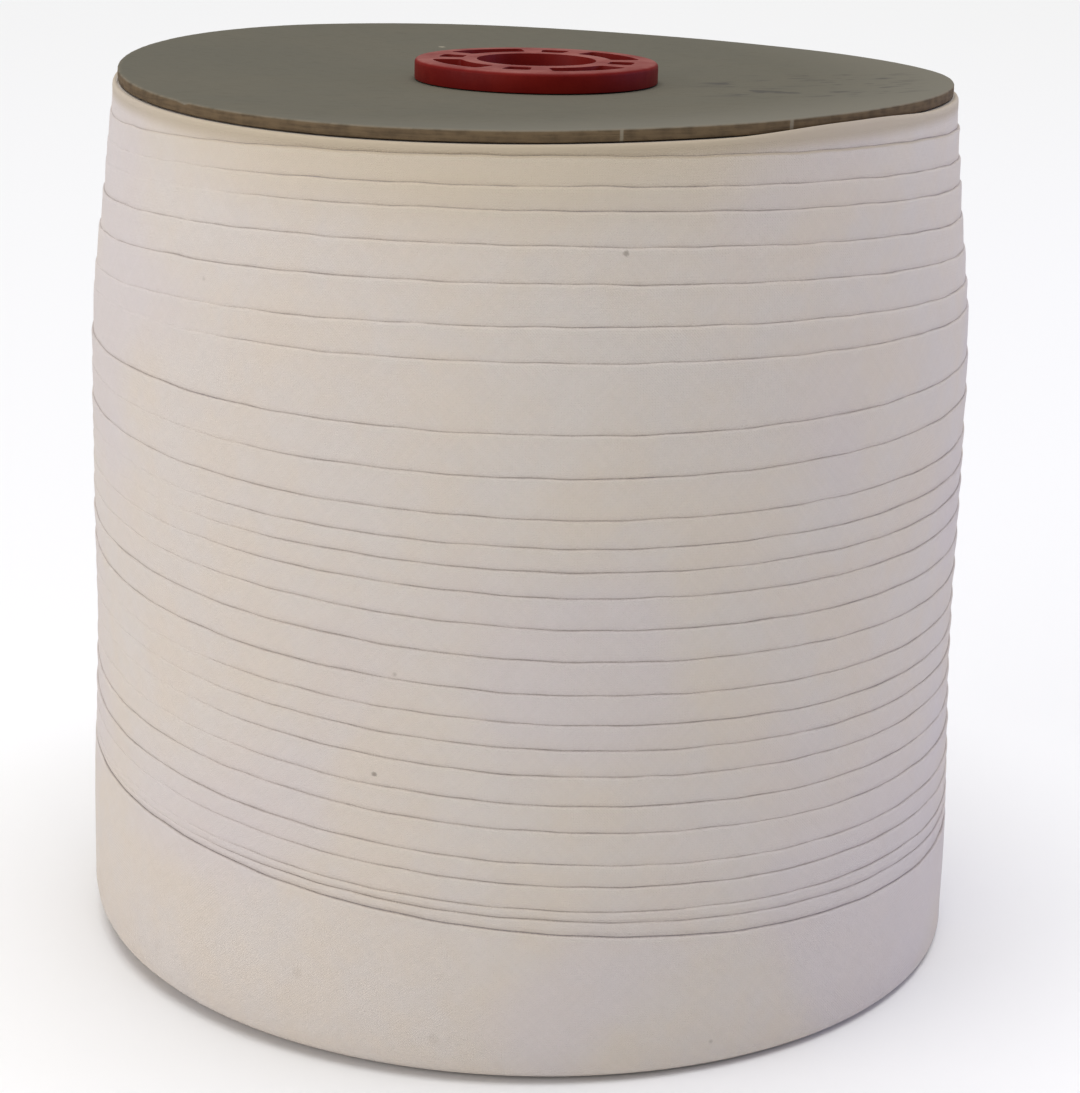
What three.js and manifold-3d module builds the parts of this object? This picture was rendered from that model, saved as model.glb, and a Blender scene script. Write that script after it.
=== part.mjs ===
// A roll of flat bias tape, wound on the slant into one upright barrel and capped with a board disc
// and a plastic plug. Millimetres, +Z up, the roll stands on z = 0 with its axis on Z and its front
// towards -Y. Angles run from the front towards +X.
import * as THREE from "three";
import { mergeVertices } from "three/addons/utils/BufferGeometryUtils.js";
import Module from "manifold-3d";

// Driving dimensions
const TAPE_WIDTH = 36;
const TAPE_STEP = 0.6;
const EDGE_DROP = 0.4;
const CLOTH_HEIGHT = 205;
const BORE_RADIUS = 27;
const BOARD_RADIUS = 98.5;
const BOARD_THICKNESS = 2.6;
const FLANGE_RADIUS = 29;
const FLANGE_HEIGHT = 4.7;
const SLEEVE_RADIUS = 26.5;
const SLEEVE_DEPTH = 22;
const SPINDLE_RADIUS = 14.2;
const SEAT_GAP = 0.3;

// Facets round each piece
const TURN_STEPS = 60;
const PLUG_STEPS = 64;

// Half width of the wound cloth at each height
const BARREL = [
  { z: 0, r: 108.5 },
  { z: 35, r: 108.1 },
  { z: 75, r: 106.6 },
  { z: 115, r: 106.3 },
  { z: 155, r: 105.6 },
  { z: 184, r: 102.1 },
  { z: CLOTH_HEIGHT, r: 99.8 },
];

// Width of tape that each turn leaves bare below its edge, measured down the front from the top end
const BARE = [
  4.3, 6.1, 4.9, 7.1, 7.6, 8.7, 7.4, 15.0, 9.1, 8.7, 6.2, 5.1, 5.5, 6.9,
  7.1, 7.6, 6.7, 5.7, 5.9, 6.7, 6.0, 7.4, 4.9, 5.7, 2.3, 3.1, 2.6,
];
const FIRST_EDGE = 3.3;

// The edges lean to one side, most of all lower down, and are bowed up at the front above the
// widest bare turn and down below it
const SLANTS = [
  { turn: 0, lean: -2.7, bow: 3.0 },
  { turn: 3, lean: -0.9, bow: 4.3 },
  { turn: 6, lean: -1.6, bow: 4.9 },
  { turn: 8.5, lean: -1.3, bow: -3.2 },
  { turn: 10, lean: 0.6, bow: -3.0 },
  { turn: 14, lean: 3.0, bow: -3.0 },
  { turn: 20, lean: 4.6, bow: -3.3 },
  { turn: 24, lean: 5.8, bow: -2.8 },
  { turn: 26, lean: 8.6, bow: -2.6 },
];
const BOW_ONCE = 0.5;
const BOW_TWICE = 0.22;

// The tape leaves the top end at the back and is cut off at the back
const START_TURN = 0.5;
const END_TURN = 26.5;
const RUN_OUT = 0.35;
const RIM_CLEAR = 0.4;

// Rounding of the roll's two rims
const TOP_ROUND = 1.2;
const PAST_BOARD = 0.6;
const BASE_ROUND = 5.5;
const BASE_ROUND_SWING = 3.5;
const BASE_ROUND_STEPS = 3;

// Radii at which the two flat ends have a ring of points
const END_RINGS = [52, 76];
const FLAT_RADIUS = 30;

// The board is dished and a little sprung: how far its rim stands above its flat middle all round,
// and how much more or less by a tilt and a saddle, each highest towards an angle
const RIM_RISE = 2.75;
const RIM_TILT = { rise: 1.3, towards: -174 };
const RIM_SADDLE = { rise: 1.35, towards: 54 };

// Plug: openings between its two walls
const FRONT = -90;
const SLOT_PHASE = -12;
const SLOTS = [
  { from: 18, to: 25, middle: 45, half: 24, steps: 8 },
  { from: 17.6, to: 23.4, middle: 0, half: 8.5, steps: 3 },
];
const SLOT_CORNER = 1.1;
const PLUG_EDGE = 1.1;
const QUARTERS = 4;
const CUT_PAST = 2;
const WELD = 1e-4;

const CLOTH_COLOUR = 0xd3c9c1;
const BOARD_COLOUR = 0x6f6a5c;
const PLUG_COLOUR = 0x8c2a22;

const DEGREE = Math.PI / 180;
const BOARD_BASE = CLOTH_HEIGHT + SEAT_GAP;
const BOARD_TOP = BOARD_BASE + BOARD_THICKNESS;

// Value of a table's column at a key, eased through its rows
function along(rows, key, column, at) {
  const last = rows.length - 1;
  let i = 0;
  while (i < last - 1 && rows[i + 1][key] < at) i += 1;
  const slope = (n) => {
    const a = rows[Math.max(n - 1, 0)];
    const b = rows[Math.min(n + 1, last)];
    return (b[column] - a[column]) / (b[key] - a[key]);
  };
  const span = rows[i + 1][key] - rows[i][key];
  const t = (at - rows[i][key]) / span;
  const rise = rows[i + 1][column] - rows[i][column];
  const fromStart = slope(i) * span - rise;
  const fromEnd = rise - slope(i + 1) * span;
  return rows[i][column] + t * rise + t * (1 - t) * ((1 - t) * fromStart + t * fromEnd);
}

// How far the board, and the cloth's end beneath it, stands above its middle
function lift(radius, angle) {
  const out = Math.max(0, (radius - FLAT_RADIUS) / (BOARD_RADIUS - FLAT_RADIUS));
  const tilt = RIM_TILT.rise * Math.cos(angle - RIM_TILT.towards * DEGREE);
  const saddle = RIM_SADDLE.rise * Math.cos(2 * (angle - RIM_SADDLE.towards * DEGREE));
  return out * out * (RIM_RISE + tilt + saddle);
}

function ease(share) {
  const t = Math.min(Math.max(share, 0), 1);
  return t * t * (3 - 2 * t);
}

function barrelRadius(z) {
  return along(BARREL, "z", "r", Math.min(Math.max(z, 0), CLOTH_HEIGHT));
}

// Height of every turn's edge at the front, down from one that would lie above the top end
function edgeRows() {
  let z = CLOTH_HEIGHT + FIRST_EDGE;
  return BARE.map((bare, turn) => {
    const row = { turn, z };
    z -= bare;
    return row;
  });
}

const EDGES = edgeRows();

// Height of the tape's upper edge after a number of turns. It leaves the rim at the back
function edgeHeight(turn) {
  const angle = 2 * Math.PI * turn;
  const plain = along(EDGES, "turn", "z", turn);
  const lean = along(SLANTS, "turn", "lean", turn);
  const bow = along(SLANTS, "turn", "bow", turn);
  const shape = BOW_ONCE * (Math.cos(angle) - 1) + BOW_TWICE * (Math.cos(2 * angle) - 1);
  const free = plain - lean * Math.sin(angle) + bow * shape;
  const rim = CLOTH_HEIGHT - TOP_ROUND + lift(BOARD_RADIUS, angle);
  return rim + (Math.min(free, rim - RIM_CLEAR) - rim) * ease((turn - START_TURN) / RUN_OUT);
}

// How far the outermost turn has grown past the one beneath it, by its share of the way round
function proud(share) {
  return (TAPE_STEP / 2) * Math.max(share, 0);
}

function spot(radius, angle, z) {
  return [radius * Math.sin(angle), -radius * Math.cos(angle), z];
}

// A closed surface put together from rows of points
class Skin {
  constructor() {
    this.points = [];
    this.faces = [];
  }

  add(point) {
    this.points.push(...point);
    return this.points.length / 3 - 1;
  }

  row(count, place) {
    return Array.from({ length: count }, (_, i) => this.add(place(i)));
  }

  triangle(a, b, c) {
    if (a !== b && b !== c && a !== c) this.faces.push(a, b, c);
  }

  // Two rows of the same length, the upper one first
  strip(upper, lower) {
    for (let i = 0; i + 1 < upper.length; i += 1) {
      this.triangle(upper[i], lower[i], lower[i + 1]);
      this.triangle(upper[i], lower[i + 1], upper[i + 1]);
    }
  }

  ringStrip(upper, lower) {
    this.strip([...upper, upper[0]], [...lower, lower[0]]);
  }

  geometry() {
    const made = new THREE.BufferGeometry();
    made.setAttribute("position", new THREE.Float32BufferAttribute(this.points, 3));
    made.setIndex(this.faces);
    return made;
  }
}

function ringAngle(i) {
  return Math.PI + (2 * Math.PI * i) / TURN_STEPS;
}

// The wound cloth: one skin whose wraps step out along the tape's edge
function tapeRoll() {
  const skin = new Skin();
  const total = Math.round((END_TURN - START_TURN) * TURN_STEPS);

  const topRings = [BORE_RADIUS, ...END_RINGS, BOARD_RADIUS + PAST_BOARD].map((r) =>
    skin.row(TURN_STEPS, (i) => spot(r, ringAngle(i), CLOTH_HEIGHT + lift(r, ringAngle(i)))),
  );
  const rim = skin.row(TURN_STEPS, (i) => {
    const z = CLOTH_HEIGHT - TOP_ROUND + lift(BOARD_RADIUS, ringAngle(i));
    return spot(barrelRadius(z), ringAngle(i), z);
  });

  // Inner and outer corner of the tape's upper edge, from the rim at the back down to the cut end
  const inner = [rim[0]];
  const outer = [rim[0]];
  for (let k = 1; k <= total; k += 1) {
    const turn = START_TURN + k / TURN_STEPS;
    const angle = 2 * Math.PI * turn;
    const z = edgeHeight(turn);
    const r = barrelRadius(z);
    const grown = Math.min((turn - START_TURN) / RUN_OUT, 1);
    const half = (TAPE_STEP / 2) * grown;
    inner.push(skin.add(spot(r - half, angle, z)));
    outer.push(skin.add(spot(r + half + proud(turn - END_TURN + 1), angle, z - EDGE_DROP * grown)));
  }

  for (let i = 0; i + 1 < topRings.length; i += 1) skin.ringStrip(topRings[i], topRings[i + 1]);
  skin.ringStrip(topRings[topRings.length - 1], rim);
  skin.strip([...rim, rim[0]], inner.slice(0, TURN_STEPS + 1));
  skin.strip(inner, outer);
  skin.strip(outer.slice(0, total - TURN_STEPS + 1), inner.slice(TURN_STEPS));

  // Below the last edge the tape shows its whole width down to the rounded lower rim. Its rows are
  // open where the cut end stands proud of the wrap beneath
  const lastEdge = outer.slice(total - TURN_STEPS);
  const middle = skin.row(TURN_STEPS + 1, (i) => {
    const z = TAPE_WIDTH / 2;
    return spot(barrelRadius(z) + TAPE_STEP / 2 + proud(i / TURN_STEPS), ringAngle(i), z);
  });
  const lower = [];
  for (let level = 0; level <= BASE_ROUND_STEPS; level += 1) {
    const arc = (Math.PI / 2) * (level / BASE_ROUND_STEPS);
    lower.push(
      skin.row(TURN_STEPS + 1, (i) => {
        const angle = ringAngle(i);
        const round = BASE_ROUND - BASE_ROUND_SWING * Math.sin(angle);
        const r = barrelRadius(round) + TAPE_STEP / 2 + proud(i / TURN_STEPS);
        return spot(r - round * (1 - Math.cos(arc)), angle, round * (1 - Math.sin(arc)));
      }),
    );
  }
  const bands = [lastEdge, middle, ...lower];
  for (let i = 0; i + 1 < bands.length; i += 1) skin.strip(bands[i], bands[i + 1]);

  // Cut end of the tape: a thin wall facing on round the roll
  const wall = [inner[total], ...bands.map((row) => row[row.length - 1])];
  const foot = bands.map((row) => row[0]);
  skin.triangle(foot[0], inner[total], wall[1]);
  for (let i = 0; i + 1 < foot.length; i += 1) {
    skin.triangle(foot[i], wall[i + 1], wall[i + 2]);
    skin.triangle(foot[i], wall[i + 2], foot[i + 1]);
  }

  // Flat underside and bore
  const flat = (r) => skin.row(TURN_STEPS, (i) => spot(r, ringAngle(i), 0));
  const baseRings = [...END_RINGS].reverse().map(flat);
  const boreFoot = flat(BORE_RADIUS);
  const heel = lower[BASE_ROUND_STEPS];
  skin.strip(heel, [...baseRings[0], baseRings[0][0]]);
  skin.triangle(heel[0], heel[TURN_STEPS], baseRings[0][0]);
  skin.ringStrip(baseRings[0], baseRings[1]);
  skin.ringStrip(baseRings[1], boreFoot);
  skin.ringStrip(boreFoot, topRings[0]);
  return skin.geometry();
}

// The board disc, with a hole that the plug's sleeve passes
function boardDisc() {
  const skin = new Skin();
  const rings = [SLEEVE_RADIUS + SEAT_GAP, ...END_RINGS, BOARD_RADIUS];
  const face = (base) => rings.map((r) =>
    skin.row(TURN_STEPS, (i) => spot(r, ringAngle(i), base + lift(r, ringAngle(i)))));
  const top = face(BOARD_TOP);
  const bottom = face(BOARD_BASE);
  for (let i = 0; i + 1 < rings.length; i += 1) {
    skin.ringStrip(top[i], top[i + 1]);
    skin.ringStrip(bottom[i + 1], bottom[i]);
  }
  skin.ringStrip(top[rings.length - 1], bottom[rings.length - 1]);
  skin.ringStrip(bottom[0], top[0]);
  return skin.geometry();
}

function toSolid(wasm, geometry) {
  const bare = geometry.clone();
  bare.deleteAttribute("normal");
  bare.deleteAttribute("uv");
  const merged = mergeVertices(bare, WELD);
  return new wasm.Manifold(new wasm.Mesh({
    numProp: 3,
    vertProperties: new Float32Array(merged.attributes.position.array),
    triVerts: new Uint32Array(merged.index.array),
  }));
}

function toGeometry(solid) {
  const mesh = solid.getMesh();
  const made = new THREE.BufferGeometry();
  made.setAttribute("position", new THREE.Float32BufferAttribute(mesh.vertProperties, 3));
  made.setIndex([...mesh.triVerts]);
  return made;
}

// One opening of the plug seen from above: an arc-shaped slot with eased corners
function slotShape({ from, to, middle, half }, quarter) {
  const centre = (FRONT + SLOT_PHASE + middle + (360 / QUARTERS) * quarter) * DEGREE;
  const reach = half * DEGREE;
  const corner = SLOT_CORNER;
  const shape = new THREE.Shape();
  shape.absarc(0, 0, to, centre - reach + corner / to, centre + reach - corner / to, false);
  shape.absarc(0, 0, to - corner, centre + reach, centre + reach, false);
  shape.absarc(0, 0, from + corner, centre + reach, centre + reach, false);
  shape.absarc(0, 0, from, centre + reach - corner / from, centre - reach + corner / from, true);
  shape.absarc(0, 0, from + corner, centre - reach, centre - reach, false);
  shape.absarc(0, 0, to - corner, centre - reach, centre - reach, false);
  return shape;
}

// The plastic plug: a flange on the board, and a sleeve down into the roll
async function corePlug() {
  const wasm = await Module();
  wasm.setup();
  const seat = BOARD_TOP + SEAT_GAP;
  const top = seat + FLANGE_HEIGHT;
  const foot = BOARD_BASE - SLEEVE_DEPTH;
  const eased = PLUG_EDGE * (1 - Math.SQRT1_2);
  const outline = [
    [SPINDLE_RADIUS, foot],
    [SLEEVE_RADIUS - PLUG_EDGE, foot],
    [SLEEVE_RADIUS, foot + 2 * PLUG_EDGE],
    [SLEEVE_RADIUS, seat],
    [FLANGE_RADIUS, seat],
    [FLANGE_RADIUS, top - PLUG_EDGE],
    [FLANGE_RADIUS - eased, top - eased],
    [FLANGE_RADIUS - PLUG_EDGE, top],
    [SPINDLE_RADIUS + PLUG_EDGE / 2, top],
    [SPINDLE_RADIUS, top - PLUG_EDGE / 2],
    [SPINDLE_RADIUS, foot],
  ].map(([r, z]) => new THREE.Vector2(r, z));
  const turned = new THREE.LatheGeometry(outline, PLUG_STEPS);
  turned.rotateX(Math.PI / 2);
  let solid = toSolid(wasm, turned);
  const depth = top - foot + 2 * CUT_PAST;
  for (let quarter = 0; quarter < QUARTERS; quarter += 1) {
    for (const slot of SLOTS) {
      const cut = { depth, bevelEnabled: false, curveSegments: slot.steps };
      const cutter = new THREE.ExtrudeGeometry(slotShape(slot, quarter), cut);
      cutter.translate(0, 0, foot - CUT_PAST);
      solid = solid.subtract(toSolid(wasm, cutter));
    }
  }
  return toGeometry(solid);
}

function piece(name, geometry, color, roughness) {
  geometry.computeVertexNormals();
  const mesh = new THREE.Mesh(geometry, new THREE.MeshStandardMaterial({ color, roughness, metalness: 0 }));
  mesh.name = name;
  return mesh;
}

const roll = new THREE.Group();
roll.add(piece("tape_roll", tapeRoll(), CLOTH_COLOUR, 0.95));
roll.add(piece("board_disc", boardDisc(), BOARD_COLOUR, 0.85));
roll.add(piece("core_plug", await corePlug(), PLUG_COLOUR, 0.4));

export default roll;
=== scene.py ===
"""Dressed model of a bulk roll of flat bias tape: the wound cloth, its board disc and its plug.

+Z is up, the roll stands on z = 0 with its axis on Z and its front towards -Y. Angles run from the
front towards +X. Sizes of the pieces are in millimetres, as on their drawing. Every point that goes
into a mesh, and every place or length in a finish, is in metres.
"""

import logging
import math
from contextlib import contextmanager
from dataclasses import dataclass
from enum import Enum
from functools import partial
from typing import Callable, Iterator, NamedTuple, Sequence

import bmesh
import bpy
import numpy as np
from mathutils import Matrix, Vector, noise


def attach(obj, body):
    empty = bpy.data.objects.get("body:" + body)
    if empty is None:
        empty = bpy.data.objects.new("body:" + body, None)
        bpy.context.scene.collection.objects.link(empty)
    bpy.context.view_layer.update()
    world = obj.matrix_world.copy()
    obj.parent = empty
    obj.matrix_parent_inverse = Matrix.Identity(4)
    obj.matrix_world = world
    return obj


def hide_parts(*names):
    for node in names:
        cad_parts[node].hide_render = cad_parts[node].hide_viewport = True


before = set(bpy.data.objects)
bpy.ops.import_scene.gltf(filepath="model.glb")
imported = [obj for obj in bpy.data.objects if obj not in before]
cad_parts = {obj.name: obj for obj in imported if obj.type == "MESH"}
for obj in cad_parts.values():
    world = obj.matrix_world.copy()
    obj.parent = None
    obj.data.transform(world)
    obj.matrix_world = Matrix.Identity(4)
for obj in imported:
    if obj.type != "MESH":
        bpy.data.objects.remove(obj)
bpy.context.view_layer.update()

LOG = logging.getLogger("bias_tape_roll")
MM = 0.001
WELD = 2e-6
HAIR = 1e-6
FULL_TURN = 2 * math.pi
Colour = tuple[float, float, float, float]
Spot = tuple[float, float, float]
Place = Callable[[float], tuple[float, float]]


def shade(red: int, green: int, blue: int) -> Colour:
    """A colour as the eye sees it, 0 to 255, turned into the linear values that shaders take.

    Args:
        red: Red as seen.
        green: Green as seen.
        blue: Blue as seen.

    Returns:
        The linear colour with full alpha.
    """
    seen = [channel / 255 for channel in (red, green, blue)]
    linear = [c / 12.92 if c < 0.04045 else ((c + 0.055) / 1.055) ** 2.4 for c in seen]
    return (linear[0], linear[1], linear[2], 1.0)


def ease(share: np.ndarray | float) -> np.ndarray | float:
    """Smooth step of a share that is held between 0 and 1."""
    held = np.clip(share, 0, 1)
    return held * held * (3 - 2 * held)


def along(keys: Sequence[float], values: Sequence[float], at: np.ndarray) -> np.ndarray:
    """Value of a table at each place, eased through its rows.

    Args:
        keys: Rising keys of the rows.
        values: Value of each row.
        at: Places to read.

    Returns:
        One value for each place.
    """
    key = np.asarray(keys, float)
    value = np.asarray(values, float)
    last = len(key) - 1
    before = np.maximum(np.arange(last + 1) - 1, 0)
    after = np.minimum(np.arange(last + 1) + 1, last)
    slope = (value[after] - value[before]) / (key[after] - key[before])
    row = np.clip(np.searchsorted(key, at) - 1, 0, last - 1)
    span = key[row + 1] - key[row]
    share = (at - key[row]) / span
    rise = value[row + 1] - value[row]
    from_start = slope[row] * span - rise
    from_end = rise - slope[row + 1] * span
    bend = (1 - share) * from_start + share * from_end
    return value[row] + share * rise + share * (1 - share) * bend


@dataclass(frozen=True)
class Ripple:
    """An uneven wave along a line, made of a few sines, the same on every run."""

    seed: int
    shortest: float
    longest: float
    waves: int = 7
    size: float = 1.0

    def at(self, place: np.ndarray) -> np.ndarray:
        """Height of the wave, mostly within its size, at each place.

        Args:
            place: Places along the line.

        Returns:
            One height for each place.
        """
        chance = np.random.default_rng(self.seed)
        lengths = np.geomspace(self.shortest, self.longest, self.waves)
        phases = chance.uniform(0, FULL_TURN, self.waves)
        waves = [np.sin(FULL_TURN * place / x + p) for x, p in zip(lengths, phases)]
        return self.size * (np.sum(waves, axis=0) / math.sqrt(self.waves))


def alone(piece: bpy.types.Object) -> None:
    """Select and activate one object, with all others left out.

    Args:
        piece: The object.
    """
    bpy.ops.object.select_all(action="DESELECT")
    piece.select_set(True)
    bpy.context.view_layer.objects.active = piece


@contextmanager
def editing(piece: bpy.types.Object, kind: str = "EDGE") -> Iterator[None]:
    """Edit mode on one piece alone, with nothing selected in it.

    Args:
        piece: The mesh object to edit.
        kind: Select mode: VERT, EDGE or FACE.

    Yields:
        Nothing; edit mode ends with the block.
    """
    alone(piece)
    bpy.ops.object.mode_set(mode="EDIT")
    bpy.ops.mesh.select_mode(type=kind)
    bpy.ops.mesh.select_all(action="DESELECT")
    yield
    bpy.ops.object.mode_set(mode="OBJECT")


def added(name: str, add: Callable[..., object], **settings: object) -> bpy.types.Object:
    """Add one object with nothing else selected, and name it and its data.

    Args:
        name: Name of the object.
        add: The operator that adds it.
        **settings: What the operator is given.

    Returns:
        The new object.
    """
    bpy.ops.object.select_all(action="DESELECT")
    add(**settings)
    piece = bpy.context.active_object
    piece.name = name
    piece.data.name = name
    return piece


def weld(piece: bpy.types.Object, closed: bool = True) -> None:
    """Merge a piece's doubled points.

    Args:
        piece: The piece.
        closed: Whether it is a closed shape, whose faces are then turned outwards.
    """
    with editing(piece, "VERT"):
        bpy.ops.mesh.select_all(action="SELECT")
        bpy.ops.mesh.remove_doubles(threshold=WELD)
        if closed:
            bpy.ops.mesh.normals_make_consistent(inside=False)


def apply(piece: bpy.types.Object, kind: str, **settings: object) -> None:
    """Give a piece a modifier and apply it.

    Args:
        piece: The piece.
        kind: Blender's name of the modifier type.
        **settings: Attributes to set on the modifier.
    """
    alone(piece)
    modifier = piece.modifiers.new(kind.lower(), kind)
    for name, value in settings.items():
        setattr(modifier, name, value)
    bpy.ops.object.modifier_apply(modifier=modifier.name)


def smooth(piece: bpy.types.Object, degrees: float) -> None:
    """Shade a piece smooth, and keep the edges sharper than an angle."""
    alone(piece)
    bpy.ops.object.shade_smooth_by_angle(angle=math.radians(degrees))


def spot(radius: float, angle: float, height: float) -> Vector:
    """Point in metres at a radius, an angle from the front and a height in millimetres."""
    return Vector((radius * math.sin(angle), -radius * math.cos(angle), height)) * MM


def angle_of(point: Vector) -> float:
    """Angle of a point from the front."""
    return math.atan2(point.x, -point.y)


def rounded(
    radius: float, height: float, corner: float, steps: int, way: int = -1
) -> list[tuple[float, float]]:
    """Quarter round at an outside corner of a section, from its flat face outwards.

    Args:
        radius: Radius of the sharp corner.
        height: Height of the sharp corner.
        corner: Radius of the rounding.
        steps: Number of steps in it.
        way: -1 if the section lies below the corner, 1 if it lies above.

    Returns:
        Radius and height of each point.
    """
    bends = [math.pi / 2 * number / steps for number in range(steps + 1)]
    return [
        (radius - corner * (1 - math.sin(bend)), height + way * corner * (1 - math.cos(bend)))
        for bend in bends
    ]


def turned(name: str, section: Sequence[tuple[float, float]], steps: int) -> bpy.types.Object:
    """Spin a closed section all the way round the roll's axis.

    Args:
        name: Name of the piece.
        section: Radius and height of each point of the section, in order round it.
        steps: Number of steps round the axis.

    Returns:
        The turned piece, closed, with its faces outwards.
    """
    ring = bpy.ops.mesh.primitive_circle_add
    piece = added(name, ring, vertices=len(section), radius=1, fill_type="NOTHING")
    for vertex, (radius, height) in zip(piece.data.vertices, section):
        vertex.co = spot(radius, math.pi, height)
    with editing(piece):
        bpy.ops.mesh.select_all(action="SELECT")
        bpy.ops.mesh.spin(steps=steps, angle=FULL_TURN, center=(0, 0, 0), axis=(0, 0, 1))
    weld(piece)
    return piece


class Value:
    """One output of a node, on which sums are written as on a number."""

    def __init__(self, wire: "Wiring", socket: bpy.types.NodeSocket) -> None:
        """Hold an output and the wiring of its tree."""
        self.wire = wire
        self.socket = socket

    def __add__(self, other: object) -> "Value":
        """The sum."""
        return self.wire.math("ADD", self, other)

    def __sub__(self, other: object) -> "Value":
        """The difference."""
        return self.wire.math("SUBTRACT", self, other)

    def __mul__(self, other: object) -> "Value":
        """The product."""
        return self.wire.math("MULTIPLY", self, other)

    def under(self, limit: object) -> "Value":
        """1 where it is less than a limit, else 0."""
        return self.wire.math("LESS_THAN", self, limit)

    def span(self, low: object, high: object) -> "Value":
        """Smooth 0 to 1 as it goes from low to high, which may be the lower number."""
        inputs = {"Value": self, "From Min": low, "From Max": high}
        return self.wire.node("ShaderNodeMapRange", inputs, interpolation_type="SMOOTHSTEP")


class Wiring:
    """Adds the nodes of one node tree and joins them."""

    def __init__(self, tree: bpy.types.NodeTree) -> None:
        """Start on a tree."""
        self.tree = tree

    def feed(self, socket: bpy.types.NodeSocket, value: object) -> None:
        """Join a socket to an output, or set its own value.

        Args:
            socket: The input.
            value: The output to join it to, or a number, vector or colour.
        """
        if isinstance(value, Value):
            self.tree.links.new(value.socket, socket)
        else:
            socket.default_value = value

    def add(
        self, kind: str, inputs: dict[int | str, object] | None = None, **settings: object
    ) -> bpy.types.Node:
        """Add a node.

        Args:
            kind: Blender's name of the node type.
            inputs: What its inputs take, by number or name.
            **settings: Attributes to set on it.

        Returns:
            The new node.
        """
        made = self.tree.nodes.new(kind)
        for name, value in settings.items():
            setattr(made, name, value)
        for key, value in (inputs or {}).items():
            self.feed(made.inputs[key], value)
        return made

    def node(
        self,
        kind: str,
        inputs: dict[int | str, object] | None = None,
        output: int | str = 0,
        **settings: object,
    ) -> Value:
        """Add a node for one of its outputs.

        Args:
            kind: Blender's name of the node type.
            inputs: What its inputs take, by number or name.
            output: Number or name of the output.
            **settings: Attributes to set on the node.

        Returns:
            The output.
        """
        return Value(self, self.add(kind, inputs, **settings).outputs[output])

    def math(self, work: str, first: object, second: object = 0.0) -> Value:
        """Result of a math node on two values."""
        return self.node("ShaderNodeMath", {0: first, 1: second}, operation=work)

    def vector(self, work: str, first: object, second: object = (0, 0, 0)) -> Value:
        """Result of a vector math node on two vectors."""
        output = "Value" if work in ("LENGTH", "DISTANCE") else "Vector"
        return self.node("ShaderNodeVectorMath", {0: first, 1: second}, output, operation=work)

    def scaled(self, vector: object, scale: object) -> Value:
        """A vector or colour times a value."""
        return self.node("ShaderNodeVectorMath", {0: vector, "Scale": scale}, operation="SCALE")

    def split(self, vector: Value) -> tuple[Value, ...]:
        """The X, Y and Z of a vector."""
        made = self.add("ShaderNodeSeparateXYZ", {0: vector})
        return tuple(Value(self, socket) for socket in made.outputs)

    def join(self, x: object, y: object) -> Value:
        """A flat vector put together from its X and Y."""
        return self.node("ShaderNodeCombineXYZ", {0: x, 1: y})

    def place(self) -> Value:
        """Place on the piece, in metres from the origin."""
        return self.node("ShaderNodeTexCoord", output="Object")

    def facing_up(self) -> Value:
        """1 where the surface faces straight up, 0 where it is upright."""
        return self.split(self.node("ShaderNodeNewGeometry", output="Normal"))[2]

    def attribute(self, name: str) -> Value:
        """Value of a mesh attribute."""
        return self.node("ShaderNodeAttribute", output="Fac", attribute_name=name)

    def grain(self, vector: object, scale: object, detail: float = 2.0) -> Value:
        """Value of a noise texture at a vector."""
        inputs = {"Vector": vector, "Scale": scale, "Detail": detail}
        return self.node("ShaderNodeTexNoise", inputs)

    def stretch(self, vector: object, scale: Sequence[float], turn: float = 0) -> Value:
        """A pattern's vector, scaled on each axis and turned about Z in degrees."""
        inputs = {"Vector": vector, "Rotation": (0, 0, math.radians(turn)), "Scale": scale}
        return self.node("ShaderNodeMapping", inputs)

    def group(self, shared: bpy.types.NodeTree, **values: object) -> dict[str, Value]:
        """Outputs by name of a shared effect, with its inputs given by name."""
        made = self.add("ShaderNodeGroup", values, node_tree=shared)
        return {socket.name: Value(self, socket) for socket in made.outputs}

    def mix(self, share: object, first: object, second: object) -> Value:
        """Colour between two by a share.

        Args:
            share: 0 for the first, 1 for the second.
            first: One colour.
            second: The other colour.

        Returns:
            The mixed colour.
        """
        made = self.add("ShaderNodeMix", data_type="RGBA")
        ends = [socket for socket in made.inputs if socket.enabled]
        for socket, value in zip(ends, (share, first, second)):
            self.feed(socket, value)
        return Value(self, next(socket for socket in made.outputs if socket.enabled))

    def coats(self, colour: Value, *coats: tuple[Value, Colour]) -> Value:
        """A colour with others laid over it in turn.

        Args:
            colour: The colour beneath.
            *coats: Share and colour of each coat.

        Returns:
            The colour on top.
        """
        for share, coat in coats:
            colour = self.mix(share, colour, coat)
        return colour


class Socket(Enum):
    """Kinds of input that a shared effect may have."""

    VALUE = "NodeSocketFloat"
    VECTOR = "NodeSocketVector"


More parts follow.
